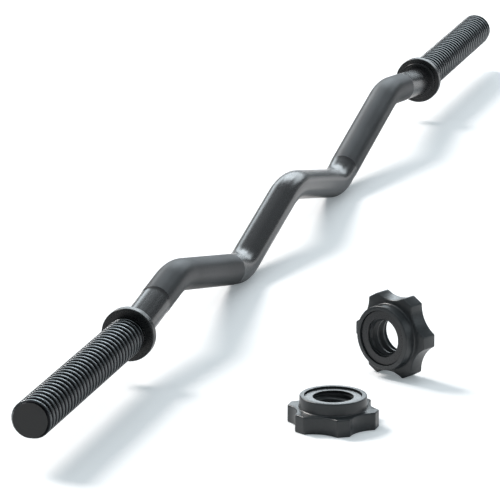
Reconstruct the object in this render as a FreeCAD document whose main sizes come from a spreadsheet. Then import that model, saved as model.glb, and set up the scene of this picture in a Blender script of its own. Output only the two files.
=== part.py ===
import FreeCAD, Part
import math
import os

import Sketcher

# EZ curl bar with threaded end sleeves, stop collars and two screw-on star nuts, in millimetres.
# +Z is up and +X runs along the bar. The origin is on the surface that the bar stands on, under its middle.
# The bar stands on its two low bends, and the nuts lie beside it, taken off.

DOC = FreeCAD.newDocument("ez_curl_bar")
SHEET = DOC.addObject("Spreadsheet::Sheet", "Sizes")
X_AXIS = FreeCAD.Vector(1, 0, 0)
Y_AXIS = FreeCAD.Vector(0, 1, 0)
Z_AXIS = FreeCAD.Vector(0, 0, 1)

# Driving sizes: lengths in millimetres, turns in degrees.
# Reaches run along the bar from one bend to the next, rises and drops are from the sleeves' axis.
DRIVING_SIZES = {
    "shaft_diameter": 22.5,
    "low_bend_reach": 131.2,
    "high_bend_reach": 158.8,
    "neck_reach": 96.0,
    "neck_stub": 4.5,
    "centre_rise": 6.5,
    "low_bend_drop": 24.4,
    "high_bend_rise": 13.2,
    "centre_bend_radius": 100.0,
    "low_bend_radius": 60.0,
    "high_bend_radius": 90.0,
    "neck_bend_radius": 40.0,
    "spigot_diameter": 17.0,
    "spigot_length": 46.0,
    "spigot_chamfer": 1.0,
    "spigot_end_gap": 2.0,
    "press_clearance": 0.03,
    "pin_diameter": 4.0,
    "pin_end_gap": 0.5,
    "sleeve_length": 200.5,
    "thread_diameter": 26.7,
    "thread_depth": 1.9,
    "thread_clearance": 0.15,
    "journal_relief": 0.65,
    "runout_length": 1.5,
    "sleeve_end_chamfer": 1.6,
    "collar_thickness": 7.0,
    "collar_flange": 3.57,
    "collar_rim": 2.8,
    "collar_recess_depth": 0.4,
    "collar_edge_round": 1.0,
    "hub_height": 2.0,
    "hub_wall": 2.3,
    "star_across": 60.6,
    "star_thickness": 11.9,
    "valley_depth": 5.15,
    "scallop_radius": 21.2,
    "lobe_corner_round": 1.5,
    "star_edge_round": 0.8,
    "boss_diameter": 44.6,
    "boss_height": 8.4,
    "boss_rim": 3.1,
    "boss_edge_round": 0.8,
    "boss_foot_round": 1.2,
    "ring_seat_depth": 3.0,
    "ring_sunk": 1.2,
    "ring_clearance": 0.1,
    "ring_shelf": 2.0,
    "ring_chamfer": 0.5,
    "bore_chamfer": 1.2,
    "flat_nut_x": -448.8,
    "flat_nut_y": -157.9,
    "flat_nut_turn": -1.6,
    "standing_nut_x": -320.4,
    "standing_nut_y": -170.4,
    "standing_nut_turn": 154.3,
}

# Sizes that follow from the driving ones.
HIGH_BEND = "(Sizes.low_bend_reach + Sizes.high_bend_reach)"
NECK_BEND = f"({HIGH_BEND} + Sizes.neck_reach)"
SHOULDER = f"({NECK_BEND} + Sizes.neck_stub)"
COLLAR_INNER_FACE = f"({SHOULDER} + Sizes.hub_height)"
COLLAR_OUTER_FACE = f"({COLLAR_INNER_FACE} + Sizes.collar_thickness)"
RECESS_FACE = f"({COLLAR_OUTER_FACE} - Sizes.collar_recess_depth)"
PIN_PLACE = f"(({COLLAR_INNER_FACE} + {RECESS_FACE}) / 2)"
THREAD_START = f"({COLLAR_OUTER_FACE} + Sizes.runout_length)"
SLEEVE_END = f"({COLLAR_OUTER_FACE} + Sizes.sleeve_length)"
SPIGOT_RADIUS = "(Sizes.spigot_diameter / 2)"
SOCKET_RADIUS = f"({SPIGOT_RADIUS} + Sizes.press_clearance)"
SOCKET_END = f"({SHOULDER} + Sizes.spigot_length + Sizes.spigot_end_gap)"
PIN_HOLE_RADIUS = "(Sizes.pin_diameter / 2 + Sizes.press_clearance)"
THREAD_RADIUS = "(Sizes.thread_diameter / 2)"
JOURNAL_RADIUS = f"({THREAD_RADIUS} - Sizes.journal_relief)"
COLLAR_BORE_RADIUS = f"({JOURNAL_RADIUS} + Sizes.press_clearance)"
HUB_RADIUS = f"({COLLAR_BORE_RADIUS} + Sizes.hub_wall)"
COLLAR_RADIUS = f"({HUB_RADIUS} + Sizes.collar_flange)"
RECESS_RADIUS = f"({COLLAR_RADIUS} - Sizes.collar_rim)"
LOBE_RADIUS = "(Sizes.star_across / 2)"
SCALLOP_PLACE = f"({LOBE_RADIUS} - Sizes.valley_depth + Sizes.scallop_radius)"
NUT_HEIGHT = "(Sizes.star_thickness + Sizes.boss_height)"
NUT_BORE_RADIUS = f"({THREAD_RADIUS} - Sizes.thread_depth + Sizes.thread_clearance)"
RING_SEAT = f"({NUT_HEIGHT} - Sizes.ring_seat_depth)"
RING_SEAT_RADIUS = "(Sizes.boss_diameter / 2 - Sizes.boss_rim)"
RING_OUTER_RADIUS = f"({RING_SEAT_RADIUS} - Sizes.ring_clearance)"
RING_INNER_RADIUS = f"({NUT_BORE_RADIUS} + Sizes.ring_shelf)"
RING_BOTTOM = f"({RING_SEAT} + Sizes.ring_clearance)"
RING_TOP = f"({NUT_HEIGHT} - Sizes.ring_sunk)"


def fill_sheet():
    """Write each driving size into its own cell, under its own alias."""
    for row, (alias, number) in enumerate(DRIVING_SIZES.items(), start=1):
        SHEET.set(f"A{row}", alias)
        SHEET.set(f"B{row}", str(number))
        SHEET.setAlias(f"B{row}", alias)
    DOC.recompute()


def value(expression):
    """The number that an expression of sizes gives now."""
    return float(SHEET.evalExpression(expression))


def new_body(label):
    body = DOC.addObject("PartDesign::Body", label)
    body.Label = label
    return body


def origin_plane(body, role):
    return next(plane for plane in body.Origin.OriginFeatures if plane.Role == role)


def new_sketch(body, name, role, offset=None):
    """A sketch on one of the body's origin planes, moved along the plane's normal by offset."""
    sketch = body.newObject("Sketcher::SketchObject", name)
    sketch.AttachmentSupport = (origin_plane(body, role), [""])
    sketch.MapMode = "FlatFace"
    if offset:
        sketch.setExpression("AttachmentOffset.Base.z", offset)
    return sketch


def bind(sketch, constraint, expression):
    """Add a dimension and tie it to an expression of sizes."""
    number = sketch.addConstraint(constraint)
    sketch.setExpression(f"Constraints[{number}]", expression)


def fix_point(sketch, geometry, end, along, across):
    """Place a point of the sketch by two expressions, where the text 0 puts it on an axis."""
    horizontal_axis, vertical_axis = -1, -2
    ties = (("DistanceX", along, vertical_axis), ("DistanceY", across, horizontal_axis))
    for kind, expression, axis in ties:
        if expression == "0":
            sketch.addConstraint(Sketcher.Constraint("PointOnObject", geometry, end, axis))
        else:
            bind(sketch, Sketcher.Constraint(kind, -1, 1, geometry, end, value(expression)), expression)


def polygon(body, name, corners, role="XZ_Plane"):
    """A closed outline on one of the body's planes from corners given as two expressions each."""
    sketch = new_sketch(body, name, role)
    points = [FreeCAD.Vector(value(along), value(across), 0) for along, across in corners]
    count = len(points)
    for i in range(count):
        sketch.addGeometry(Part.LineSegment(points[i], points[(i + 1) % count]), False)
    for i in range(count):
        sketch.addConstraint(Sketcher.Constraint("Coincident", i, 2, (i + 1) % count, 1))
    for i, (along, across) in enumerate(corners):
        fix_point(sketch, i, 1, along, across)
    return sketch


def circle(body, name, role, radius, centre=("0", "0"), offset=None):
    """A circle sketch whose radius, centre and plane offset are expressions."""
    sketch = new_sketch(body, name, role, offset)
    middle = FreeCAD.Vector(value(centre[0]), value(centre[1]), 0)
    sketch.addGeometry(Part.Circle(middle, Z_AXIS, value(radius)), False)
    fix_point(sketch, 0, 3, *centre)
    bind(sketch, Sketcher.Constraint("Radius", 0, value(radius)), radius)
    return sketch


def add_feature(body, kind, name, profile, **settings):
    """Add a sketch-based feature, set it up and recompute."""
    feature = body.newObject(f"PartDesign::{kind}", name)
    feature.Profile = profile
    for key, setting in settings.items():
        setattr(feature, key, setting)
    DOC.recompute()
    return feature


def round_edges(body, name, radius, wanted):
    """Fillet the edges of the body's tip that the wanted function picks."""
    base = body.Tip
    names = [f"Edge{i}" for i, edge in enumerate(base.Shape.Edges, start=1) if wanted(edge)]
    fillet = body.newObject("PartDesign::Fillet", name)
    fillet.Base = (base, names)
    fillet.setExpression("Radius", radius)
    DOC.recompute()
    return fillet


def bend(before, corner, after, radius):
    """Centre, start, middle and end of the arc that rounds a corner of the route."""
    inward = (corner - before).normalize()
    onward = (after - corner).normalize()
    half_turn = inward.getAngle(onward) / 2
    setback = radius * math.tan(half_turn)
    centre = corner + (onward - inward).normalize() * (radius / math.cos(half_turn))
    middle = centre + (corner - centre).normalize() * radius
    return centre, corner - inward * setback, middle, corner + onward * setback


def centreline(body):
    """Half of the bent centreline, from the shoulder to the middle: straight runs and tangent arcs.

    Each run is tied to the bend points at its two ends, and each arc is tangent to its two runs.
    """
    sketch = new_sketch(body, "centreline", "XZ_Plane")
    bends = [
        (NECK_BEND, "0", "Sizes.neck_bend_radius"),
        (HIGH_BEND, "Sizes.high_bend_rise", "Sizes.high_bend_radius"),
        ("Sizes.low_bend_reach", "-Sizes.low_bend_drop", "Sizes.low_bend_radius"),
        ("0", "Sizes.centre_rise", "Sizes.centre_bend_radius"),
    ]
    corners = [FreeCAD.Vector(value(along), value(across), 0) for along, across, _ in bends]
    run_start = FreeCAD.Vector(value(SHOULDER), 0, 0)
    other_low_bend = FreeCAD.Vector(-corners[2].x, corners[2].y, 0)
    route = [run_start] + corners + [other_low_bend]
    vertical_axis, last = -2, len(bends) - 1
    for i, (along, across, radius) in enumerate(bends):
        centre, start, middle, end = bend(*route[i : i + 3], value(radius))
        end = middle if i == last else end
        left_turn = (start - centre).cross(end - centre).z > 0
        first, second = (start, end) if left_turn else (end, start)
        angles = [math.atan2(point.y - centre.y, point.x - centre.x) for point in (first, second)]
        run = sketch.addGeometry(Part.LineSegment(run_start, start), False)
        arc_circle = Part.Circle(centre, Z_AXIS, value(radius))
        arc = sketch.addGeometry(Part.ArcOfCircle(arc_circle, *angles), False)
        point = sketch.addGeometry(Part.Point(corners[i]), True)
        arc_start, arc_end = (1, 2) if left_turn else (2, 1)
        if i == 0:
            fix_point(sketch, run, 1, SHOULDER, "0")
        else:
            sketch.addConstraint(Sketcher.Constraint("Tangent", run, 1, *before_arc_end))
            sketch.addConstraint(Sketcher.Constraint("PointOnObject", before_point, 1, run))
        sketch.addConstraint(Sketcher.Constraint("Tangent", run, 2, arc, arc_start))
        fix_point(sketch, point, 1, along, across)
        sketch.addConstraint(Sketcher.Constraint("PointOnObject", point, 1, run))
        bind(sketch, Sketcher.Constraint("Radius", arc, value(radius)), radius)
        before_arc_end, before_point, run_start = (arc, arc_end), point, end
    sketch.addConstraint(Sketcher.Constraint("PointOnObject", arc, 3, vertical_axis))
    sketch.addConstraint(Sketcher.Constraint("PointOnObject", arc, arc_end, vertical_axis))
    return sketch


def make_shaft():
    """The bent round bar with a pinned spigot at each end: one half is swept and then mirrored."""
    body = new_body("bent_shaft")
    route = centreline(body)
    section = circle(body, "section", "YZ_Plane", "Sizes.shaft_diameter / 2", offset=SHOULDER)
    DOC.recompute()
    runs = [f"Edge{i}" for i in range(1, len(route.Shape.Edges) + 1)]
    sweep = add_feature(body, "AdditivePipe", "bent_half", section, Spine=(route, runs))
    spigot_face = circle(body, "spigot_face", "YZ_Plane", SPIGOT_RADIUS, offset=SHOULDER)
    spigot = add_feature(body, "Pad", "spigot", spigot_face)
    spigot.setExpression("Length", "Sizes.spigot_length")
    DOC.recompute()
    hole = pin_hole(body)
    mirrored = body.newObject("PartDesign::Mirrored", "both_halves")
    mirrored.Originals = [sweep, spigot, hole]
    mirrored.MirrorPlane = (origin_plane(body, "YZ_Plane"), [""])
    body.Tip = mirrored
    DOC.recompute()
    spigot_end = value(f"{SHOULDER} + Sizes.spigot_length")

    def at_spigot_end(edge):
        return all(math.isclose(abs(vertex.X), spigot_end, abs_tol=1e-4) for vertex in edge.Vertexes)

    names = [f"Edge{i}" for i, edge in enumerate(mirrored.Shape.Edges, start=1) if at_spigot_end(edge)]
    chamfer = body.newObject("PartDesign::Chamfer", "spigot_chamfers")
    chamfer.Base = (mirrored, names)
    chamfer.setExpression("Size", "Sizes.spigot_chamfer")
    DOC.recompute()
    return body


def pin_hole(body):
    """A cross hole for the pin, through everything along Y."""
    outline = circle(body, "pin_hole_outline", "XZ_Plane", PIN_HOLE_RADIUS, centre=(PIN_PLACE, "0"))
    before = body.Tip.Shape.Volume
    hole = add_feature(body, "Pocket", "pin_hole", outline, Type="ThroughAll", SideType="Symmetric")
    assert hole.Shape.Volume < before, "the pin hole cut nothing"
    return hole


def make_sleeve(label):
    """Threaded sleeve at its crest diameter: a plain seat for the collar, a blind socket for the spigot."""
    body = new_body(label)
    outline = polygon(body, "outline", [
        (SHOULDER, SOCKET_RADIUS),
        (SHOULDER, JOURNAL_RADIUS),
        (THREAD_START, JOURNAL_RADIUS),
        (THREAD_START, THREAD_RADIUS),
        (f"{SLEEVE_END} - Sizes.sleeve_end_chamfer", THREAD_RADIUS),
        (SLEEVE_END, f"{THREAD_RADIUS} - Sizes.sleeve_end_chamfer"),
        (SLEEVE_END, "0"),
        (SOCKET_END, "0"),
        (SOCKET_END, SOCKET_RADIUS),
    ])
    add_feature(body, "Revolution", "turned", outline, ReferenceAxis=(outline, ["H_Axis"]), Angle=360)
    pin_hole(body)
    return body


def make_collar(label):
    """Stop collar with a recessed outer face and a low hub on its inner face."""
    body = new_body(label)
    outline = polygon(body, "outline", [
        (SHOULDER, COLLAR_BORE_RADIUS),
        (SHOULDER, HUB_RADIUS),
        (COLLAR_INNER_FACE, HUB_RADIUS),
        (COLLAR_INNER_FACE, COLLAR_RADIUS),
        (COLLAR_OUTER_FACE, COLLAR_RADIUS),
        (COLLAR_OUTER_FACE, RECESS_RADIUS),
        (RECESS_FACE, RECESS_RADIUS),
        (RECESS_FACE, COLLAR_BORE_RADIUS),
    ])
    add_feature(body, "Revolution", "turned", outline, ReferenceAxis=(outline, ["H_Axis"]), Angle=360)
    rounded = (value(HUB_RADIUS), value(COLLAR_RADIUS))
    hub_face, inner_face = value(SHOULDER), value(COLLAR_INNER_FACE)

    def outer_rim(edge):
        if not isinstance(edge.Curve, Part.Circle):
            return False
        at_corner = edge.Curve.Center.x < hub_face + 1e-4 or edge.Curve.Radius > rounded[1] - 1e-4
        return at_corner and any(math.isclose(edge.Curve.Radius, radius, abs_tol=1e-4) for radius in rounded)

    round_edges(body, "rounded_rims", "Sizes.collar_edge_round", outer_rim)
    return body


def make_pin(label):
    """Cross pin that ends just under the collar's seat, so that the collar hides its ends."""
    pin = DOC.addObject("Part::Cylinder", label)
    pin.Label = label
    pin.setExpression("Radius", "Sizes.pin_diameter / 2")
    seat_reach = f"sqrt({JOURNAL_RADIUS}^2 - (Sizes.pin_diameter / 2)^2)"
    pin.setExpression("Height", f"2 * ({seat_reach} - Sizes.pin_end_gap)")
    DOC.recompute()
    return pin


def make_star_nut(label):
    """Six-lobed nut: a hexagon with scalloped corners, a round boss, a bore and a seat for the ring."""
    body = new_body(label)
    corner_radius = f"{LOBE_RADIUS} / cos(30 deg)"
    corners = []
    for turn in (0, 60, 120, 180, 240, 300):
        across = f"{corner_radius} * sin({turn} deg)" if turn % 180 else "0"
        corners.append((f"{corner_radius} * cos({turn} deg)", across))
    hexagon = polygon(body, "hexagon", corners, role="XY_Plane")
    star = add_feature(body, "Pad", "star", hexagon)
    star.setExpression("Length", "Sizes.star_thickness")
    DOC.recompute()
    scallop_centre = (SCALLOP_PLACE, "0")
    scallop_circle = circle(body, "scallop_circle", "XY_Plane", "Sizes.scallop_radius", scallop_centre)
    scallop = add_feature(body, "Pocket", "scallop", scallop_circle, Type="ThroughAll", SideType="Symmetric")
    scallops = body.newObject("PartDesign::PolarPattern", "scallops")
    scallops.Originals = [scallop]
    scallops.Axis = (origin_plane(body, "Z_Axis"), [""])
    scallops.Angle = 360
    scallops.Occurrences = len(corners)
    body.Tip = scallops
    DOC.recompute()
    assert scallops.Shape.Volume < star.Shape.Volume, "the scallops cut nothing"
    round_edges(body, "lobe_corners", "Sizes.lobe_corner_round", upright)
    boss_foot = "Sizes.star_thickness"
    boss_circle = circle(body, "boss_circle", "XY_Plane", "Sizes.boss_diameter / 2", offset=boss_foot)
    boss = add_feature(body, "Pad", "boss", boss_circle)
    boss.setExpression("Length", "Sizes.boss_height")
    DOC.recompute()
    bore_outline = polygon(body, "bore_outline", [
        ("0", "0"),
        (f"{NUT_BORE_RADIUS} + Sizes.bore_chamfer", "0"),
        (NUT_BORE_RADIUS, "Sizes.bore_chamfer"),
        (NUT_BORE_RADIUS, f"{RING_SEAT} - Sizes.bore_chamfer"),
        (f"{NUT_BORE_RADIUS} + Sizes.bore_chamfer", RING_SEAT),
        (RING_SEAT_RADIUS, RING_SEAT),
        (RING_SEAT_RADIUS, NUT_HEIGHT),
        ("0", NUT_HEIGHT),
    ])
    nut_axis = (bore_outline, ["V_Axis"])
    bore = add_feature(body, "Groove", "bore", bore_outline, ReferenceAxis=nut_axis, Angle=360)
    assert bore.Shape.Volume < boss.Shape.Volume, "the bore cut nothing"
    boss_radius = value("Sizes.boss_diameter / 2")

    def star_outline(edge):
        flat = math.isclose(edge.BoundBox.ZMin, edge.BoundBox.ZMax, abs_tol=1e-4)
        return flat and all(math.hypot(v.X, v.Y) > boss_radius + 1e-4 for v in edge.Vertexes)

    def boss_circle_at(height):
        def wanted(edge):
            if not isinstance(edge.Curve, Part.Circle):
                return False
            on_boss = math.isclose(edge.Curve.Radius, boss_radius, abs_tol=1e-4)
            return on_boss and math.isclose(edge.Curve.Center.z, value(height), abs_tol=1e-4)
        return wanted

    round_edges(body, "star_edges", "Sizes.star_edge_round", star_outline)
    round_edges(body, "boss_edge", "Sizes.boss_edge_round", boss_circle_at(NUT_HEIGHT))
    round_edges(body, "boss_foot", "Sizes.boss_foot_round", boss_circle_at(boss_foot))
    return body


def upright(edge):
    """Whether an edge is a straight line along Z."""
    return isinstance(edge.Curve, Part.Line) and abs(edge.Curve.Direction.z) > 0.999


def make_rubber_ring(label):
    """Rubber ring in the seat of the boss, a little below its rim, with a chamfer on its outer edge."""
    body = new_body(label)
    outline = polygon(body, "outline", [
        (RING_INNER_RADIUS, RING_BOTTOM),
        (RING_OUTER_RADIUS, RING_BOTTOM),
        (RING_OUTER_RADIUS, f"{RING_TOP} - Sizes.ring_chamfer"),
        (f"{RING_OUTER_RADIUS} - Sizes.ring_chamfer", RING_TOP),
        (RING_INNER_RADIUS, RING_TOP),
    ])
    add_feature(body, "Revolution", "moulded", outline, ReferenceAxis=(outline, ["V_Axis"]), Angle=360)
    return body


def lowest(shape):
    """Height of a shape's lowest point."""
    return shape.optimalBoundingBox(False, False).ZMin


def build():
    """Make every piece, put it in its place and return the pieces."""
    shaft = make_shaft()
    lift = FreeCAD.Vector(0, 0, -lowest(shaft.Shape))
    shaft.Placement = FreeCAD.Placement(lift, FreeCAD.Rotation())
    pieces = [shaft]
    pin_along_y = FreeCAD.Rotation(X_AXIS, -90)
    for side, turn in (("right", 0), ("left", 180)):
        end = FreeCAD.Placement(lift, FreeCAD.Rotation(Z_AXIS, turn))
        sleeve, collar = make_sleeve(f"{side}_sleeve"), make_collar(f"{side}_collar")
        sleeve.Placement = collar.Placement = end
        pin = make_pin(f"{side}_sleeve_pin")
        pin_start = FreeCAD.Vector(value(PIN_PLACE), -pin.Height.Value / 2, 0)
        pin.Placement = end * FreeCAD.Placement(pin_start, pin_along_y)
        pieces += [sleeve, collar, pin]
    for side, place in (("left", flat_nut_place), ("right", standing_nut_place)):
        nut, ring = make_star_nut(f"{side}_star_nut"), make_rubber_ring(f"{side}_rubber_ring")
        nut.Placement = ring.Placement = place(nut)
        pieces += [nut, ring]
    DOC.recompute()
    return pieces


def flat_nut_place(nut):
    """The nut lies on its back with its boss up."""
    spot = FreeCAD.Vector(value("Sizes.flat_nut_x"), value("Sizes.flat_nut_y"), 0)
    return FreeCAD.Placement(spot, FreeCAD.Rotation(Z_AXIS, value("Sizes.flat_nut_turn")))


def standing_nut_place(nut):
    """The nut stands on two lobes with its boss to the side."""
    tip_over = FreeCAD.Rotation(Y_AXIS, 90)
    tipped = nut.Shape.copy()
    tipped.Placement = FreeCAD.Placement(FreeCAD.Vector(), tip_over)
    spot = FreeCAD.Vector(value("Sizes.standing_nut_x"), value("Sizes.standing_nut_y"), -lowest(tipped))
    turn = FreeCAD.Rotation(Z_AXIS, value("Sizes.standing_nut_turn"))
    return FreeCAD.Placement(spot, turn * tip_over)


def check(pieces):
    """Stop if any object failed or any piece isn't one valid solid."""
    for item in DOC.Objects:
        if "Invalid" in item.State or "Error" in item.State:
            raise RuntimeError(f"{item.Name} failed: {item.State}")
    for piece in pieces:
        if piece.Shape.isNull() or not piece.Shape.isValid() or len(piece.Shape.Solids) != 1:
            raise RuntimeError(f"{piece.Label} isn't one valid solid")


def write(pieces):
    """Write each piece to its own file and print its size."""
    os.makedirs("parts", exist_ok=True)
    for piece in pieces:
        piece.Shape.exportStep(f"parts/{piece.Label}.step")
        box = piece.Shape.BoundBox
        size = " x ".join(f"{length:.1f}" for length in (box.XLength, box.YLength, box.ZLength))
        print(f"{piece.Label}: {piece.Shape.Volume:.0f} mm3, {size}")


fill_sheet()
PIECES = build()
check(PIECES)
write(PIECES)
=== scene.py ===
"""Looks of an EZ curl bar: a knurled W-bent shaft, threaded sleeves, stop collars and two star nuts.

Sizes are in millimetres and become metres where a mesh is made. +X runs along the bar and +Z is up.
"""

import logging
import math
from dataclasses import dataclass
from enum import Enum, IntEnum
from typing import Any

import bmesh
import bpy
from mathutils import Matrix, Vector


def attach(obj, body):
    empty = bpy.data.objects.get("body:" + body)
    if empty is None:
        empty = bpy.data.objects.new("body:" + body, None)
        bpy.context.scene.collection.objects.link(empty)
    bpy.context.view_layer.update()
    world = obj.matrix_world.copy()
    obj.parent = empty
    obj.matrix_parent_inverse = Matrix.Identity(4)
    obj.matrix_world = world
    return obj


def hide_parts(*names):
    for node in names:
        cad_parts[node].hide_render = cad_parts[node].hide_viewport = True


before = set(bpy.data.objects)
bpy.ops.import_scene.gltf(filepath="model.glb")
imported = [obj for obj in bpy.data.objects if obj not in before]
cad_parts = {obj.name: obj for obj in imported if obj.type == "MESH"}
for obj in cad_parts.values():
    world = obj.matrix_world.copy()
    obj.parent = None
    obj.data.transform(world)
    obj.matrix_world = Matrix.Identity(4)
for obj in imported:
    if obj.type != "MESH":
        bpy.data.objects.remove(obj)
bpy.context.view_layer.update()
LOG = logging.getLogger("ez_curl_bar")
# A millimetre in metres, and the distance in metres within which points are merged.
MM = 0.001
WELD = 1e-6
# The sleeves' axis over the floor, where they start from the middle of the bar, and their thread's pitch.
AXIS_HEIGHT = 34.0
SHOULDER = 390.5
THREAD_PITCH = 6.25
# Size of the faint clouds in every finish, and the range that nearly all values of a noise lie in.
CLOUD_SIZE = 40.0
NOISE_LOW = 0.3
NOISE_HIGH = 0.7
# Share of a thread's height where the painted shade in its grooves starts to give way to its burnished
# crest.
CREST_FROM = 0.6
# Grip past which a ring of points is knurled, and past which a face has the knurl's finish.
FULL_GRIP = 0.99
HALF_GRIP = 0.5


class Side(Enum):
    """The two ends of the bar, with the turn about Z that puts a right-hand piece there."""

    RIGHT = 0
    LEFT = 180

    @property
    def label(self) -> str:
        """The end's word in the names of nodes and pieces."""
        return self.name.lower()

    @property
    def place(self) -> Matrix:
        """Transform from a turned piece's own Z axis to this end of the bar."""
        turn = Matrix.Rotation(math.radians(self.value), 4, "Z")
        along_bar = Matrix.Rotation(math.radians(90), 4, "Y")
        return Matrix.Translation((0, 0, AXIS_HEIGHT)) @ turn @ along_bar


class SleeveSlot(IntEnum):
    """Material slots of a threaded sleeve."""

    THREAD = 0
    END = 1
    SEAT = 2


class Rest(Enum):
    """How a star nut lies on the floor, with the turn about Y that tips it over."""

    FLAT = 0
    STANDING = 90


def linear(hex_colour: str) -> tuple[float, float, float, float]:
    """Turn an sRGB hex colour into linear RGBA.

    Args:
        hex_colour: Colour as "#rrggbb".

    Returns:
        Linear red, green and blue with an alpha of 1.
    """
    parts = [int(hex_colour[i:i + 2], 16) / 255 for i in (1, 3, 5)]
    red, green, blue = (p / 12.92 if p <= 0.04045 else ((p + 0.055) / 1.055) ** 2.4 for p in parts)
    return red, green, blue, 1.0


def add_node(tree: bpy.types.NodeTree, kind: str, inputs: dict[str | int, Any] | None = None,
             **settings: Any) -> bpy.types.Node:
    """Add a node with its settings, constants and links.

    Args:
        tree: The tree that gets the node.
        kind: The node's type name.
        inputs: Constant or output socket for each input, by name or number.
        **settings: The node's own properties.

    Returns:
        The new node.
    """
    node = tree.nodes.new(kind)
    for name, setting in settings.items():
        setattr(node, name, setting)
    for key, feed in (inputs or {}).items():
        if isinstance(feed, bpy.types.NodeSocket):
            tree.links.new(feed, node.inputs[key])
        else:
            node.inputs[key].default_value = feed
    return node


def new_tree(name: str, sizes: dict[str, str]) -> tuple[bpy.types.NodeTree, bpy.types.Node]:
    """Start a geometry tree with a geometry input, named size inputs and a geometry output.

    Args:
        name: The tree's name.
        sizes: Socket type of each named input.

    Returns:
        The tree and its group input node.
    """
    tree = bpy.data.node_groups.new(name, "GeometryNodeTree")
    tree.interface.new_socket("Geometry", in_out="INPUT", socket_type="NodeSocketGeometry")
    for size, kind in sizes.items():
        tree.interface.new_socket(size, in_out="INPUT", socket_type=kind)
    tree.interface.new_socket("Geometry", in_out="OUTPUT", socket_type="NodeSocketGeometry")
    return tree, add_node(tree, "NodeGroupInput")


def work_out(tree: bpy.types.NodeTree, known: dict[str, Any],
             steps: tuple[tuple[str, str, str | float, str | float], ...]) -> dict[str, Any]:
    """Chain math nodes from a table of steps.

    Args:
        tree: The tree that gets the nodes.
        known: Named sockets that the steps may use.
        steps: Rows of result name, operation, first and second operand, each a name or a number.

    Returns:
        The named sockets with the results added.
    """
    values = dict(known)
    for result, operation, first, second in steps:
        inputs = {0: values.get(first, first), 1: values.get(second, second)}
        values[result] = add_node(tree, "ShaderNodeMath", inputs, operation=operation).outputs[0]
    return values


def run_tree(tree: bpy.types.NodeTree, mesh: bpy.types.Mesh, sizes: dict[str, Any]) -> bpy.types.Mesh:
    """Run a geometry tree on a mesh and give the result as a plain mesh.

    Args:
        tree: The geometry tree.
        mesh: The mesh that goes in.
        sizes: Value of each named input.

    Returns:
        The evaluated mesh.
    """
    holder = bpy.data.objects.new("holder", mesh)
    bpy.context.scene.collection.objects.link(holder)
    modifier = holder.modifiers.new("tree", "NODES")
    modifier.node_group = tree
    for item in tree.interface.items_tree:
        if item.in_out == "INPUT" and item.name in sizes:
            modifier[item.identifier] = sizes[item.name]
    depsgraph = bpy.context.evaluated_depsgraph_get()
    made = bpy.data.meshes.new_from_object(holder.evaluated_get(depsgraph), depsgraph=depsgraph)
    bpy.data.objects.remove(holder)
    return made


def add_rings(shell: bmesh.types.BMesh, rings: list[list[Vector]], slot: int = 0) -> None:
    """Add a skin over rings of points with the same count, where a ring of one point closes an end.

    Args:
        shell: The mesh that gets the skin.
        rings: Rings of points in order along the skin.
        slot: Material slot of the new faces.
    """
    made = [[shell.verts.new(point) for point in ring] for ring in rings]
    for before, after in zip(made, made[1:]):
        count = max(len(before), len(after))
        for i in range(count):
            j = (i + 1) % count
            places = ((before, i), (before, j), (after, j), (after, i))
            corners = [ring[k % len(ring)] for ring, k in places]
            shell.faces.new(list(dict.fromkeys(corners))).material_index = slot


def circle_ring(radius: float, height: float, count: int) -> list[Vector]:
    """Evenly spaced points on a circle about Z, or the one point on the axis for no radius."""
    if radius == 0:
        return [Vector((0, 0, height))]
    turns = [math.tau * i / count for i in range(count)]
    return [Vector((radius * math.cos(t), radius * math.sin(t), height)) for t in turns]


def new_piece(name: str, shell: bmesh.types.BMesh, place: Matrix, finishes: list[bpy.types.Material],
              sharp: float) -> bpy.types.Object:
    """Close a shell, place it and make it an object with smooth faces.

    Args:
        name: The piece's name.
        shell: The mesh in millimetres, in the piece's own position.
        place: Transform to the piece's place on the floor, in millimetres.
        finishes: Materials in the order of the faces' slots.
        sharp: Edges that turn more than this many degrees stay sharp.

    Returns:
        The object, at the origin with its place in its mesh.
    """
    bmesh.ops.remove_doubles(shell, verts=shell.verts, dist=WELD / MM)
    bmesh.ops.dissolve_degenerate(shell, edges=shell.edges, dist=WELD / MM)
    bmesh.ops.recalc_face_normals(shell, faces=shell.faces)
    shell.transform(Matrix.Scale(MM, 4) @ place)
    open_edges = sum(1 for edge in shell.edges if len(edge.link_faces) != 2)
    mesh = bpy.data.meshes.new(name)
    shell.to_mesh(mesh)
    shell.free()
    for finish in finishes:
        mesh.materials.append(finish)
    mesh.polygons.foreach_set("use_smooth", [True] * len(mesh.polygons))
    mesh.set_sharp_from_angle(angle=math.radians(sharp))
    piece = bpy.data.objects.new(name, mesh)
    bpy.context.scene.collection.objects.link(piece)
    LOG.info("%s: %d faces, %d open edges", name, len(mesh.polygons), open_edges)
    return piece


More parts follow.
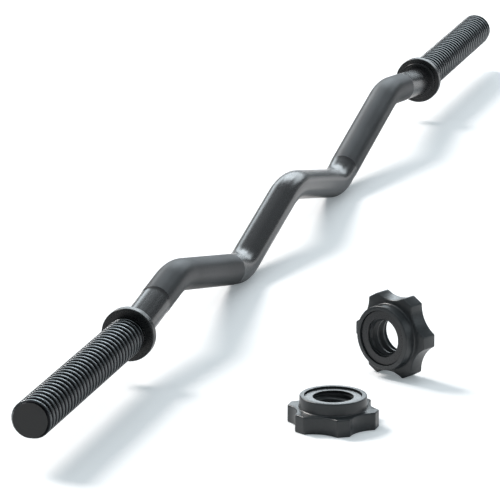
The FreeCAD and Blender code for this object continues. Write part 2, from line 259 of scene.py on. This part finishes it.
@dataclass(frozen=True)
class Finish:
    """A coated or moulded surface: one base colour with a fine grain in its gloss and its relief.

    Grain and relief are real sizes in millimetres. An edge colour dims what a metal mirrors at a
    glancing angle. A painted hollow shade is a darker colour painted into the hollows as shade, for pieces
    that store in their crest attribute how proud each point stands, from 0 in the hollows to 1 on the
    crests.
    """

    name: str
    colour: str
    roughness: float
    grain: float
    relief: float
    gloss_change: float = 0.05
    shade_change: float = 0.25
    specular: float = 0.5
    metallic: float = 0.0
    edge_colour: str = "#ffffff"
    painted_hollow_shade: str = ""

    def material(self) -> bpy.types.Material:
        """Build the finish as a material.

        Returns:
            The material, made once for each finish.
        """
        if self.name in bpy.data.materials:
            return bpy.data.materials[self.name]
        made = bpy.data.materials.new(self.name)
        made.use_nodes = True
        tree = made.node_tree
        tree.nodes.clear()
        where = add_node(tree, "ShaderNodeTexCoord").outputs["Object"]
        fine = add_node(tree, "ShaderNodeTexNoise", {
            "Vector": where, "Scale": 1 / (self.grain * MM),
            "Detail": 3.0, "Roughness": 0.6}).outputs["Fac"]
        broad = add_node(tree, "ShaderNodeTexNoise", {
            "Vector": where, "Scale": 1 / (CLOUD_SIZE * MM),
            "Detail": 2.0, "Roughness": 0.5}).outputs["Fac"]
        gloss = add_node(tree, "ShaderNodeMapRange", {
            "Value": fine, "From Min": NOISE_LOW, "From Max": NOISE_HIGH,
            "To Min": self.roughness - self.gloss_change, "To Max": self.roughness + self.gloss_change})
        base = linear(self.colour)[:3]
        dark = (*(c * (1 - self.shade_change) for c in base), 1.0)
        light = (*(c * (1 + self.shade_change) for c in base), 1.0)
        # Inputs 0, 6 and 7 of a colour mix are its factor and its two colours.
        colour = add_node(tree, "ShaderNodeMix", {
            0: broad, 6: dark, 7: light}, data_type="RGBA").outputs[2]
        # Painted shade: a thread's hollows take a darker colour, which fades up to the plain colour on the
        # crests.
        if self.painted_hollow_shade:
            stands = add_node(tree, "ShaderNodeAttribute", attribute_name="crest").outputs["Fac"]
            crest = add_node(tree, "ShaderNodeMapRange", {
                "Value": stands, "From Min": CREST_FROM}).outputs["Result"]
            colour = add_node(tree, "ShaderNodeMix", {
                0: crest, 6: linear(self.painted_hollow_shade), 7: colour}, data_type="RGBA").outputs[2]
        bump = add_node(tree, "ShaderNodeBump", {
            "Height": fine, "Strength": 1.0, "Distance": self.relief * MM}).outputs["Normal"]
        surface = add_node(tree, "ShaderNodeBsdfPrincipled", {
            "Base Color": colour, "Roughness": gloss.outputs["Result"], "Normal": bump,
            "Specular IOR Level": self.specular, "Metallic": self.metallic,
            "Specular Tint": linear(self.edge_colour)})
        add_node(tree, "ShaderNodeOutputMaterial", {"Surface": surface.outputs["BSDF"]})
        return made


# Electrocoated steel: thin even black paint, satin, with a faint orange peel.
COATED_STEEL = Finish("satin_black_coated_steel", "#2a2a2b", 0.23, grain=0.7, relief=0.0002,
                      gloss_change=0.02)
# Black zinc plating over knurling: a dark metal whose points scatter light, so it looks greyer and satin.
KNURLED_STEEL = Finish("knurled_black_zinc_steel", "#5e5f60", 0.42, grain=0.5, relief=0.004, metallic=1.0,
                       edge_colour="#d0d0d0")
# Black zinc plating on a rolled thread: a dark metal, burnished on the crests, with painted shade
# darkening the grooves.
THREAD_STEEL = Finish("black_zinc_rolled_thread", "#686b6d", 0.24, grain=0.7, relief=0.0006,
                      gloss_change=0.02, metallic=1.0, edge_colour="#d0d0d0", painted_hollow_shade="#1c1d1f")
# Painted shade on the sawn ends of the sleeves: a darker, matte, non-metal copy of the thread's plated
# finish.
SHADED_SLEEVE_END = Finish("sleeve_end_painted_shade", "#161819", 0.45, grain=0.8, relief=0.004)
# Turned collar under a dull black paint.
COLLAR_STEEL = Finish("black_painted_turned_steel", "#1c1e1f", 0.28, grain=0.7, relief=0.002,
                      specular=0.36)
# Cast iron under matte black powder coat: a fine even pebble.
POWDER_COATED_IRON = Finish("matte_powder_coated_cast_iron", "#2e3234", 0.34, grain=0.9, relief=0.006)
# Moulded nitrile rubber: dull and very dark.
NITRILE_RUBBER = Finish("moulded_nitrile_rubber", "#232527", 0.3, grain=0.6, relief=0.003)
# Plain turned steel of the hidden pins.
PIN_STEEL = Finish("plain_turned_steel", "#8a8d90", 0.35, grain=0.5, relief=0.003, metallic=1.0)


def thread_tree() -> bpy.types.NodeTree:
    """Build the tree for a right-hand rounded thread about Z, as an open tube.

    A grid is rolled up and skewed along the helix, so that each of its rows follows a ridge. The
    height over the pitch is a cosine whose top and bottom are flattened by the two cuts. The tube
    runs from the start radius through the thread to the end radius.

    Returns:
        The tree, with sizes in millimetres as its named inputs.
    """
    lengths = ("Start", "Length", "Pitch", "Groove Radius", "Crest Radius", "Start Radius", "End Radius",
               "Start Fade", "End Fade", "Groove Cut", "Crest Cut", "Rows per Turn")
    tree, given = new_tree("rolled_thread", {
        **dict.fromkeys(lengths, "NodeSocketFloat"),
        "Rows": "NodeSocketInt", "Columns": "NodeSocketInt", "Finish": "NodeSocketMaterial"})
    sizes = {name: given.outputs[name] for name in (*lengths, "Rows", "Columns")}
    sheet = add_node(tree, "GeometryNodeMeshGrid", {
        "Size X": 1.0, "Size Y": 1.0,
        "Vertices X": sizes["Rows"], "Vertices Y": sizes["Columns"]}).outputs["Mesh"]
    spot = add_node(tree, "ShaderNodeSeparateXYZ", {
        0: add_node(tree, "GeometryNodeInputPosition").outputs["Position"]})
    values = work_out(tree, {**sizes, "x": spot.outputs["X"], "y": spot.outputs["Y"]}, (
        ("share", "ADD", "x", 0.5),
        ("around", "ADD", "y", 0.5),
        ("row_gaps", "SUBTRACT", "Rows", 1.0),
        ("row", "MULTIPLY", "share", "row_gaps"),
        ("turns", "DIVIDE", "row", "Rows per Turn"),
        ("skewed", "ADD", "turns", "around"),
        ("shifted", "SUBTRACT", "skewed", 1.0),
        ("free", "MULTIPLY", "shifted", "Pitch"),
        ("not_before", "MAXIMUM", "free", 0.0),
        ("along", "MINIMUM", "not_before", "Length"),
        ("pitches", "DIVIDE", "along", "Pitch"),
        ("phase", "SUBTRACT", "pitches", "around"),
        ("phase_angle", "MULTIPLY", "phase", math.tau),
        ("wave", "COSINE", "phase_angle", 0.0),
        ("angle", "MULTIPLY", "around", math.tau),
        ("to_end", "SUBTRACT", "Length", "along"),
        ("depth", "SUBTRACT", "Crest Radius", "Groove Radius"),
    ))
    ridge = add_node(tree, "ShaderNodeMapRange", {
        "Value": values["wave"], "From Min": sizes["Groove Cut"], "From Max": sizes["Crest Cut"]},
        interpolation_type="SMOOTHSTEP").outputs["Result"]
    fade_in = add_node(tree, "ShaderNodeMapRange", {
        "Value": values["along"], "From Max": sizes["Start Fade"]},
        interpolation_type="SMOOTHSTEP").outputs["Result"]
    fade_out = add_node(tree, "ShaderNodeMapRange", {
        "Value": values["to_end"], "From Max": sizes["End Fade"]}).outputs["Result"]
    values = work_out(tree, {**values, "ridge": ridge, "fade_in": fade_in, "fade_out": fade_out}, (
        ("rise", "MULTIPLY", "ridge", "depth"),
        ("thread", "ADD", "rise", "Groove Radius"),
        ("over_start", "SUBTRACT", "thread", "Start Radius"),
        ("faded_start", "MULTIPLY", "over_start", "fade_in"),
        ("from_start", "ADD", "faded_start", "Start Radius"),
        ("over_end", "SUBTRACT", "from_start", "End Radius"),
        ("faded_end", "MULTIPLY", "over_end", "fade_out"),
        ("radius", "ADD", "faded_end", "End Radius"),
        ("cosine", "COSINE", "angle", 0.0),
        ("sine", "SINE", "angle", 0.0),
        ("to_x", "MULTIPLY", "radius", "cosine"),
        ("to_y", "MULTIPLY", "radius", "sine"),
        ("to_z", "ADD", "along", "Start"),
    ))
    point = add_node(tree, "ShaderNodeCombineXYZ", {
        "X": values["to_x"], "Y": values["to_y"], "Z": values["to_z"]}).outputs["Vector"]
    noted = add_node(tree, "GeometryNodeStoreNamedAttribute", {
        "Geometry": sheet, "Name": "crest", "Value": ridge}, data_type="FLOAT", domain="POINT")
    rolled = add_node(tree, "GeometryNodeSetPosition", {
        "Geometry": noted.outputs["Geometry"], "Position": point})
    welded = add_node(tree, "GeometryNodeMergeByDistance", {
        "Geometry": rolled.outputs["Geometry"], "Distance": WELD / MM})
    real = add_node(tree, "GeometryNodeRealizeInstances", {"Geometry": welded.outputs["Geometry"]})
    dressed = add_node(tree, "GeometryNodeSetMaterial", {
        "Geometry": real.outputs["Geometry"], "Material": given.outputs["Finish"]})
    add_node(tree, "NodeGroupOutput", {"Geometry": dressed.outputs["Geometry"]})
    return tree


def threaded_tube(tree: bpy.types.NodeTree, length: float, rows_per_turn: int,
                  sizes: dict[str, Any]) -> bmesh.types.BMesh:
    """Run the thread's tree and give its open tube, with every face in the first material slot.

    Args:
        tree: The thread's geometry tree.
        length: Length of the tube in millimetres.
        rows_per_turn: Rows of faces in one turn of the thread.
        sizes: The tree's other inputs.

    Returns:
        The tube in millimetres, about Z.
    """
    tube = run_tree(tree, bpy.data.meshes.new("thread"), {
        **sizes, "Length": length, "Pitch": THREAD_PITCH, "Rows per Turn": float(rows_per_turn),
        "Rows": math.ceil(length / THREAD_PITCH + 1) * rows_per_turn + 1})
    shell = bmesh.new()
    shell.from_mesh(tube)
    for face in shell.faces:
        face.material_index = 0
    return shell


def knurl_tree() -> bpy.types.NodeTree:
    """Build the tree for a round bar along a line of points, with diamond knurling where it is gripped.

    Each point of the line holds its radius and its grip, 1 on the knurling and 0 elsewhere. Every
    other point of the tube's net is pushed in there, which leaves rows of small pyramids.

    Returns:
        The tree, with sizes in millimetres as its named inputs.
    """
    tree, given = new_tree("knurled_bar", {
        "Columns": "NodeSocketInt", "Knurl Depth": "NodeSocketFloat",
        "Plain Finish": "NodeSocketMaterial", "Knurl Finish": "NodeSocketMaterial"})
    columns = given.outputs["Columns"]
    radius, grip = (add_node(tree, "GeometryNodeInputNamedAttribute", {"Name": name},
                             data_type="FLOAT").outputs["Attribute"] for name in ("bar_radius", "grip"))
    line = add_node(tree, "GeometryNodeMeshToCurve", {"Mesh": given.outputs["Geometry"]}).outputs["Curve"]
    section = add_node(tree, "GeometryNodeCurvePrimitiveCircle", {"Resolution": columns, "Radius": 1.0})
    tube = add_node(tree, "GeometryNodeCurveToMesh", {
        "Curve": line, "Profile Curve": section.outputs["Curve"], "Scale": radius, "Fill Caps": True})
    index = add_node(tree, "GeometryNodeInputIndex").outputs["Index"]
    values = work_out(tree, {"index": index, "columns": columns, "grip": grip,
                             "depth": given.outputs["Knurl Depth"]}, (
        ("rings", "DIVIDE", "index", "columns"),
        ("ring", "FLOOR", "rings", 0.0),
        ("column", "MODULO", "index", "columns"),
        ("net", "ADD", "ring", "column"),
        ("other", "MODULO", "net", 2.0),
        ("gripped", "GREATER_THAN", "grip", FULL_GRIP),
        ("low", "MULTIPLY", "other", "gripped"),
        ("cut", "MULTIPLY", "low", "depth"),
        ("inward", "MULTIPLY", "cut", -1.0),
    ))
    outward = add_node(tree, "GeometryNodeInputNormal").outputs["Normal"]
    offset = add_node(tree, "ShaderNodeVectorMath", {
        0: outward, "Scale": values["inward"]}, operation="SCALE")
    cut = add_node(tree, "GeometryNodeSetPosition", {
        "Geometry": tube.outputs["Mesh"], "Offset": offset.outputs["Vector"]})
    real = add_node(tree, "GeometryNodeRealizeInstances", {"Geometry": cut.outputs["Geometry"]})
    plain = add_node(tree, "GeometryNodeSetMaterial", {
        "Geometry": real.outputs["Geometry"], "Material": given.outputs["Plain Finish"]})
    gripped = add_node(tree, "ShaderNodeMath", {0: grip, 1: HALF_GRIP}, operation="GREATER_THAN")
    dressed = add_node(tree, "GeometryNodeSetMaterial", {
        "Geometry": plain.outputs["Geometry"], "Selection": gripped.outputs["Value"],
        "Material": given.outputs["Knurl Finish"]})
    add_node(tree, "NodeGroupOutput", {"Geometry": dressed.outputs["Geometry"]})
    return tree


@dataclass
class BentShaft:
    """The W-bent bar with its two knurled grips and the spigots inside the sleeves.

    Each bend is a corner's place along the bar, its height over the sleeves' axis and its radius, from
    the middle to the right end.
    """

    plain_radius: float = 11.1
    grip_radius: float = 11.4
    knurl_depth: float = 0.08
    knurl_columns: int = 88
    grip_from: float = 156.0
    grip_to: float = 337.0
    plain_gap: float = 4.0
    trace_step: float = 0.1
    spigot_radius: float = 8.5
    spigot_length: float = 46.0
    shoulder_run: float = 0.01
    sharp: float = 60.0
    bends: tuple[tuple[float, float, float], ...] = (
        (0.0, 6.5, 100.0), (131.2, -24.4, 60.0), (290.0, 13.2, 90.0), (386.0, 0.0, 40.0))

    def runs_and_arcs(self) -> list[tuple[Vector, Vector, Vector | None]]:
        """Split the centreline into straight runs and tangent arcs.

        Returns:
            Start, end and arc centre of each stretch from left to right, with no centre for a run.
        """
        half = [(Vector((x, z)), radius) for x, z, radius in self.bends]
        corners = [(Vector((-c.x, c.y)), r) for c, r in reversed(half[1:])] + half
        left, right = Vector((-SHOULDER, 0)), Vector((SHOULDER, 0))
        route = [left] + [corner for corner, _ in corners] + [right]
        stretches, run_start = [], left
        for (corner, radius), before, after in zip(corners, route, route[2:]):
            inward, onward = (corner - before).normalized(), (after - corner).normalized()
            half_turn = inward.angle(onward) / 2
            setback = radius * math.tan(half_turn)
            centre = corner + (onward - inward).normalized() * radius / math.cos(half_turn)
            start, end = corner - inward * setback, corner + onward * setback
            stretches += [(run_start, start, None), (start, end, centre)]
            run_start = end
        return stretches + [(run_start, right, None)]

    def centreline(self) -> list[Vector]:
        """Points along the centreline at the knurl's spacing on the grips and wider elsewhere.

        Returns:
            Points in the XZ plane from left to right.
        """
        stretches = self.runs_and_arcs()
        dense = [stretches[0][0]]
        for start, end, centre in stretches:
            count = max(2, round((end - start).length / self.trace_step))
            for i in range(1, count + 1):
                share = i / count
                if centre is None:
                    dense.append(start.lerp(end, share))
                else:
                    arm, far_arm = start - centre, end - centre
                    spread = arm.angle_signed(far_arm)
                    turned = Matrix.Rotation(-spread * share, 2) @ arm
                    dense.append(centre + turned)
        fine = math.tau * self.grip_radius / self.knurl_columns
        points, walked = [dense[0]], 0.0
        for before, here in zip(dense, dense[1:]):
            walked += (here - before).length
            if walked >= (fine if self.gripped(here.x) else self.plain_gap):
                points.append(here)
                walked = 0.0
        return points + [dense[-1]]

    def gripped(self, along: float) -> bool:
        """Whether a place along the bar is knurled."""
        return self.grip_from <= abs(along) <= self.grip_to

    def build(self) -> bpy.types.Object:
        """Make the shaft's mesh and put it in place of its solid.

        Returns:
            The finished piece.
        """
        route = [(point.x, point.y, self.grip_radius if self.gripped(point.x) else self.plain_radius)
                 for point in self.centreline()]
        tip = SHOULDER + self.spigot_length
        foot = SHOULDER + self.shoulder_run
        ends = [[(side * x, 0.0, self.spigot_radius) for x in (foot, tip)] for side in (-1, 1)]
        route = ends[0][::-1] + route + ends[1]
        line = bpy.data.meshes.new("shaft_line")
        line.from_pydata([(x, 0, z) for x, z, _ in route], [(i, i + 1) for i in range(len(route) - 1)], [])
        for name, numbers in (("bar_radius", [radius for *_, radius in route]),
                              ("grip", [float(radius == self.grip_radius) for *_, radius in route])):
            line.attributes.new(name, "FLOAT", "POINT").data.foreach_set("value", numbers)
        bar = run_tree(knurl_tree(), line, {
            "Columns": self.knurl_columns, "Knurl Depth": self.knurl_depth,
            "Plain Finish": COATED_STEEL.material(), "Knurl Finish": KNURLED_STEEL.material()})
        shell = bmesh.new()
        shell.from_mesh(bar)
        place = Matrix.Translation((0, 0, AXIS_HEIGHT))
        piece = new_piece("bent_shaft_knurled", shell, place, list(bar.materials), self.sharp)
        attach(piece, "bar")
        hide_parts("bent_shaft")
        return piece


@dataclass
class ThreadedSleeve:
    """A sleeve with a coarse rounded thread, a chamfered end, a plain seat and a blind socket."""

    side: Side
    seat_radius: float = 12.7
    thread_start: float = 401.0
    end: float = 600.0
    crest_radius: float = 13.35
    groove_radius: float = 11.45
    end_radius: float = 11.75
    chamfer: float = 1.6
    runout: float = 7.0
    groove_cut: float = -0.75
    crest_cut: float = 0.7
    socket_radius: float = 8.53
    socket_end: float = 438.5
    columns: int = 72
    rows_per_turn: int = 30
    sharp: float = 40.0

    def build(self, tree: bpy.types.NodeTree) -> bpy.types.Object:
        """Make the threaded sleeve and put it in place of its solid.

        Args:
            tree: The thread's geometry tree.

        Returns:
            The finished piece.
        """
        shell = threaded_tube(tree, self.end - self.thread_start, self.rows_per_turn, {
            "Start": self.thread_start, "Columns": self.columns + 1, "Finish": THREAD_STEEL.material(),
            "Groove Radius": self.groove_radius, "Crest Radius": self.crest_radius,
            "Start Radius": self.seat_radius, "End Radius": self.end_radius,
            "Start Fade": self.runout, "End Fade": self.chamfer,
            "Groove Cut": self.groove_cut, "Crest Cut": self.crest_cut})
        # The end face takes the darker finish of painted shade.
        add_rings(shell, [circle_ring(radius, height, self.columns) for radius, height in (
            (self.end_radius, self.end), (0.0, self.end))], SleeveSlot.END)
        add_rings(shell, [circle_ring(radius, height, self.columns) for radius, height in (
            (self.seat_radius, self.thread_start), (self.seat_radius, SHOULDER),
            (self.socket_radius, SHOULDER), (self.socket_radius, self.socket_end),
            (0.0, self.socket_end))], SleeveSlot.SEAT)
        finishes = {
            SleeveSlot.THREAD: THREAD_STEEL, SleeveSlot.END: SHADED_SLEEVE_END, SleeveSlot.SEAT: COLLAR_STEEL}
        piece = new_piece(f"{self.side.label}_threaded_sleeve", shell, self.side.place,
                          [finishes[slot].material() for slot in SleeveSlot], self.sharp)
        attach(piece, "bar")
        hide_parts(f"{self.side.label}_sleeve")
        return piece


@dataclass
class StarNut:
    """A six-lobed nut with a round boss, a seat for its rubber ring and a threaded bore.

    The samples count the points on half a scallop, on a corner and on half a flat.
    """

    side: Side
    rest: Rest
    spot: tuple[float, float, float]
    turn: float
    lobes: int = 6
    lobe_reach: float = 30.3
    thickness: float = 11.9
    scallop_radius: float = 21.2
    scallop_centre: float = 46.35
    corner_round: float = 1.5
    edge_round: float = 0.8
    round_steps: int = 4
    boss_radius: float = 22.3
    foot_round: float = 1.2
    height: float = 20.3
    seat_radius: float = 19.2
    seat_height: float = 17.3
    mouth_radius: float = 12.8
    bore_crest: float = 11.6
    bore_groove: float = 13.5
    mouth_fade: float = 2.0
    groove_cut: float = -0.6
    crest_cut: float = 0.95
    rows_per_turn: int = 18
    samples: tuple[int, int, int] = (9, 6, 3)
    sharp: float = 35.0

    @property
    def place(self) -> Matrix:
        """Transform from the nut's own axis to where it lies."""
        tip = Matrix.Rotation(math.radians(self.rest.value), 4, "Y")
        turn = Matrix.Rotation(math.radians(self.turn), 4, "Z")
        return Matrix.Translation(self.spot) @ (turn @ tip)

    def outline(self) -> list[tuple[Vector, Vector]]:
        """Trace the star once round: scallops, rounded corners and flats.

        Returns:
            Points with their outward normals, in the star's plane.
        """
        half_lobe = math.pi / self.lobes
        flat_normal = Vector((math.cos(half_lobe), math.sin(half_lobe)))
        flat_way = Vector((-flat_normal.y, flat_normal.x))
        scallop = Vector((self.scallop_centre, 0.0))
        inner_reach = self.lobe_reach - self.corner_round
        aside = math.sqrt((self.scallop_radius + self.corner_round) ** 2
                          - (inner_reach - flat_normal.dot(scallop)) ** 2)
        corner = flat_normal * inner_reach + flat_way * (flat_way.dot(scallop) + aside)
        to_corner = (corner - scallop).normalized()
        sweep = math.pi - math.atan2(to_corner.y, to_corner.x)
        scallop_count, corner_count, flat_count = self.samples
        half = []
        for i in range(scallop_count):
            angle = math.pi - sweep * i / scallop_count
            inward = Vector((math.cos(angle), math.sin(angle)))
            half.append((scallop + inward * self.scallop_radius, -inward))
        first = math.atan2(-to_corner.y, -to_corner.x)
        for i in range(corner_count):
            angle = first + (half_lobe - first) * i / corner_count
            normal = Vector((math.cos(angle), math.sin(angle)))
            half.append((corner + normal * self.corner_round, normal))
        flat_start = corner + flat_normal * self.corner_round
        flat_middle = flat_normal * self.lobe_reach
        half += [(flat_start.lerp(flat_middle, i / flat_count), flat_normal)
                 for i in range(flat_count + 1)]
        mirror = Matrix(((1, 0), (0, -1)))
        lobe = [(mirror @ p, mirror @ n) for p, n in reversed(half[1:-1])] + half
        points = []
        for k in range(self.lobes):
            spin = Matrix.Rotation(2 * half_lobe * k, 2)
            points += [(spin @ p, spin @ n) for p, n in lobe]
        return points

    def build(self, tree: bpy.types.NodeTree) -> bpy.types.Object:
        """Make the nut and put it in place of its solid.

        Args:
            tree: The thread's geometry tree.

        Returns:
            The finished piece.
        """
        outline = self.outline()
        count = len(outline)
        finish = POWDER_COATED_IRON.material()

        def star(inset: float, height: float) -> list[Vector]:
            """The outline moved inwards, at a height."""
            return [Vector((*(p - n * inset), height)) for p, n in outline]

        def boss(radius: float, height: float) -> list[Vector]:
            """A circle with its points under the outline's."""
            return [Vector((*(p.normalized() * radius), height)) for p, _ in outline]

        bevel = [math.pi / 2 * k / self.round_steps for k in range(self.round_steps + 1)]
        round_in = [(self.edge_round * (1 - math.sin(a)), self.edge_round * (1 - math.cos(a)))
                    for a in bevel]
        rings = [circle_ring(self.mouth_radius, 0, count)]
        rings += [star(inset, rise) for inset, rise in round_in]
        rings += [star(inset, self.thickness - rise) for inset, rise in reversed(round_in)]
        rings += [boss(self.boss_radius + self.foot_round * (1 - math.sin(a)),
                       self.thickness + self.foot_round * (1 - math.cos(a))) for a in bevel]
        rings += [boss(self.boss_radius - inset, self.height - rise) for inset, rise in reversed(round_in)]
        rings += [boss(self.seat_radius, self.height), boss(self.seat_radius, self.seat_height)]
        rings += [circle_ring(self.mouth_radius, self.seat_height, count)]
        shell = threaded_tube(tree, self.seat_height, self.rows_per_turn, {
            "Start": 0.0, "Columns": count + 1, "Finish": finish,
            "Groove Radius": self.bore_groove, "Crest Radius": self.bore_crest,
            "Start Radius": self.mouth_radius, "End Radius": self.mouth_radius,
            "Start Fade": self.mouth_fade, "End Fade": self.mouth_fade,
            "Groove Cut": self.groove_cut, "Crest Cut": self.crest_cut})
        add_rings(shell, rings)
        piece = new_piece(f"{self.side.label}_star_nut_threaded", shell, self.place, [finish], self.sharp)
        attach(piece, f"{self.side.label}_nut")
        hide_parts(f"{self.side.label}_star_nut")
        return piece


@dataclass(frozen=True)
class CarriedOver:
    """A node whose solid is shown as it is, with a better finish."""

    node: str
    finish: Finish

    def dress(self) -> None:
        """Give the node's faces their finish."""
        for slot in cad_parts[self.node].material_slots:
            slot.material = self.finish.material()
        LOG.info("%s: %s", self.node, self.finish.name)


@dataclass(frozen=True)
class Panel:
    """A flat soft light that faces a point, with its sizes in metres."""

    name: str
    spot: tuple[float, float, float]
    size: tuple[float, float]
    radiance: float
    faces: tuple[float, float, float] = (0.0, 0.0, 0.0)

    def hang(self, colour: str) -> None:
        """Put the light up, out of the camera's sight."""
        lamp = bpy.data.lights.new(self.name, "AREA")
        lamp.shape = "RECTANGLE"
        lamp.size, lamp.size_y = self.size
        lamp.energy = self.radiance * math.pi * lamp.size * lamp.size_y
        lamp.color = linear(colour)[:3]
        holder = bpy.data.objects.new(self.name, lamp)
        holder.location = self.spot
        holder.rotation_mode = "QUATERNION"
        holder.rotation_quaternion = (Vector(self.faces) - Vector(self.spot)).to_track_quat("-Z", "Y")
        holder.visible_camera = False
        bpy.context.scene.collection.objects.link(holder)


@dataclass
class Studio:
    """Pale floor, a soft key from the back left, four soft panels, a dim room and the camera."""

    floor_size: float = 60.0
    floor_colour: str = "#fafafa"
    floor_glow_colour: str = "#ebf6fb"
    floor_glow: float = 0.22
    key_from: tuple[float, float, float] = (0.5, 0.97, 1.0)
    key_colour: str = "#fffaf7"
    key_strength: float = 2.8
    key_spread: float = 20.0
    room_colour: str = "#eff9ff"
    panels: tuple[Panel, ...] = (
        Panel("strip", spot=(-0.3, 0.0, 2.4), size=(0.6, 2.8), radiance=2.4, faces=(-0.3, 0.0, 0.0)),
        Panel("back_panel", spot=(3.0, 0.4, 1.05), size=(3.2, 1.0), radiance=3.2),
        Panel("high_panel", spot=(2.58, 0.27, 1.47), size=(1.1, 0.42), radiance=5.5),
        Panel("side_panel", spot=(0.4, -3.2, 1.4), size=(3.0, 1.4), radiance=0.8))
    wall_strength: float = 0.25
    ceiling_strength: float = 0.3
    wall_top: float = 0.55
    ceiling_edge: float = 0.95
    camera_spot: tuple[float, float, float] = (-3.1804, -0.9034, 0.8895)
    azimuth: float = -73.629
    elevation: float = 15.23
    focal_pixels: float = 4507.2
    image_pixels: float = 500.0
    sensor_width: float = 36.0
    sight_limit: float = 100.0

    def build(self) -> None:
        """Make the floor, the lights, the world and the camera."""
        self.lay_floor()
        self.light()
        self.set_camera()
        bpy.context.scene.view_settings.view_transform = "Standard"

    def lay_floor(self) -> None:
        """Make the floor as one large plane, which isn't part of the object.

        A glow that only the picture sees lifts it to white without lighting the object.
        """
        half = self.floor_size / 2
        mesh = bpy.data.meshes.new("studio_floor")
        corners = [(-half, -half, 0), (half, -half, 0), (half, half, 0), (-half, half, 0)]
        mesh.from_pydata(corners, [], [(0, 1, 2, 3)])
        paint = bpy.data.materials.new("matte_white_floor_paint")
        paint.use_nodes = True
        tree = paint.node_tree
        tree.nodes.clear()
        seen = add_node(tree, "ShaderNodeLightPath").outputs["Is Camera Ray"]
        strength = add_node(tree, "ShaderNodeMath", {0: seen, 1: self.floor_glow}, operation="MULTIPLY")
        matte = add_node(tree, "ShaderNodeBsdfDiffuse", {"Color": linear(self.floor_colour)})
        glow = add_node(tree, "ShaderNodeEmission", {
            "Color": linear(self.floor_glow_colour), "Strength": strength.outputs["Value"]})
        both = add_node(tree, "ShaderNodeAddShader", {
            0: matte.outputs["BSDF"], 1: glow.outputs["Emission"]})
        add_node(tree, "ShaderNodeOutputMaterial", {"Surface": both.outputs["Shader"]})
        mesh.materials.append(paint)
        floor = bpy.data.objects.new("studio_floor", mesh)
        bpy.context.scene.collection.objects.link(floor)

    def light(self) -> None:
        """Make the key light, the panels and the room, dim at the sides and brighter above."""
        key = bpy.data.lights.new("key", "SUN")
        key.energy = self.key_strength
        key.color = linear(self.key_colour)[:3]
        key.angle = math.radians(self.key_spread)
        lamp = bpy.data.objects.new("key", key)
        lamp.rotation_mode = "QUATERNION"
        lamp.rotation_quaternion = (-Vector(self.key_from)).to_track_quat("-Z", "Y")
        bpy.context.scene.collection.objects.link(lamp)
        for panel in self.panels:
            panel.hang(self.room_colour)
        world = bpy.data.worlds.new("studio_room")
        world.use_nodes = True
        tree = world.node_tree
        tree.nodes.clear()
        sight = add_node(tree, "ShaderNodeTexCoord").outputs["Generated"]
        way = add_node(tree, "ShaderNodeSeparateXYZ", {0: sight})
        level = add_node(tree, "ShaderNodeMapRange", {
            "Value": way.outputs["Z"], "From Min": self.wall_top, "From Max": self.ceiling_edge,
            "To Min": self.wall_strength, "To Max": self.ceiling_strength},
            interpolation_type="SMOOTHSTEP")
        room = add_node(tree, "ShaderNodeBackground", {
            "Color": linear(self.room_colour), "Strength": level.outputs["Result"]})
        add_node(tree, "ShaderNodeOutputWorld", {"Surface": room.outputs["Background"]})
        bpy.context.scene.world = world

    def set_camera(self) -> None:
        """Put the camera where the photograph was taken from."""
        around, above = math.radians(self.azimuth), math.radians(self.elevation)
        level = math.cos(above)
        back = Vector((math.sin(around) * level, -math.cos(around) * level, math.sin(above)))
        lens = bpy.data.cameras.new("camera")
        lens.sensor_width = self.sensor_width
        lens.lens = self.focal_pixels / self.image_pixels * lens.sensor_width
        lens.clip_end = self.sight_limit
        camera = bpy.data.objects.new("camera", lens)
        camera.location = self.camera_spot
        camera.rotation_mode = "QUATERNION"
        camera.rotation_quaternion = (-back).to_track_quat("-Z", "Y")
        bpy.context.scene.collection.objects.link(camera)
        bpy.context.scene.camera = camera


def main() -> None:
    """Build the bar, the nuts and the studio."""
    logging.basicConfig(level=logging.INFO, format="%(name)s: %(message)s")
    BentShaft().build()
    thread = thread_tree()
    for side in Side:
        ThreadedSleeve(side).build(thread)
        CarriedOver(f"{side.label}_collar", COLLAR_STEEL).dress()
        CarriedOver(f"{side.label}_sleeve_pin", PIN_STEEL).dress()
        CarriedOver(f"{side.label}_rubber_ring", NITRILE_RUBBER).dress()
    StarNut(Side.LEFT, Rest.FLAT, spot=(-448.8, -157.9, 0.0), turn=-1.6).build(thread)
    StarNut(Side.RIGHT, Rest.STANDING, spot=(-320.4, -170.4, 28.197), turn=154.3).build(thread)
    Studio().build()


if __name__ == "__main__":
    main()
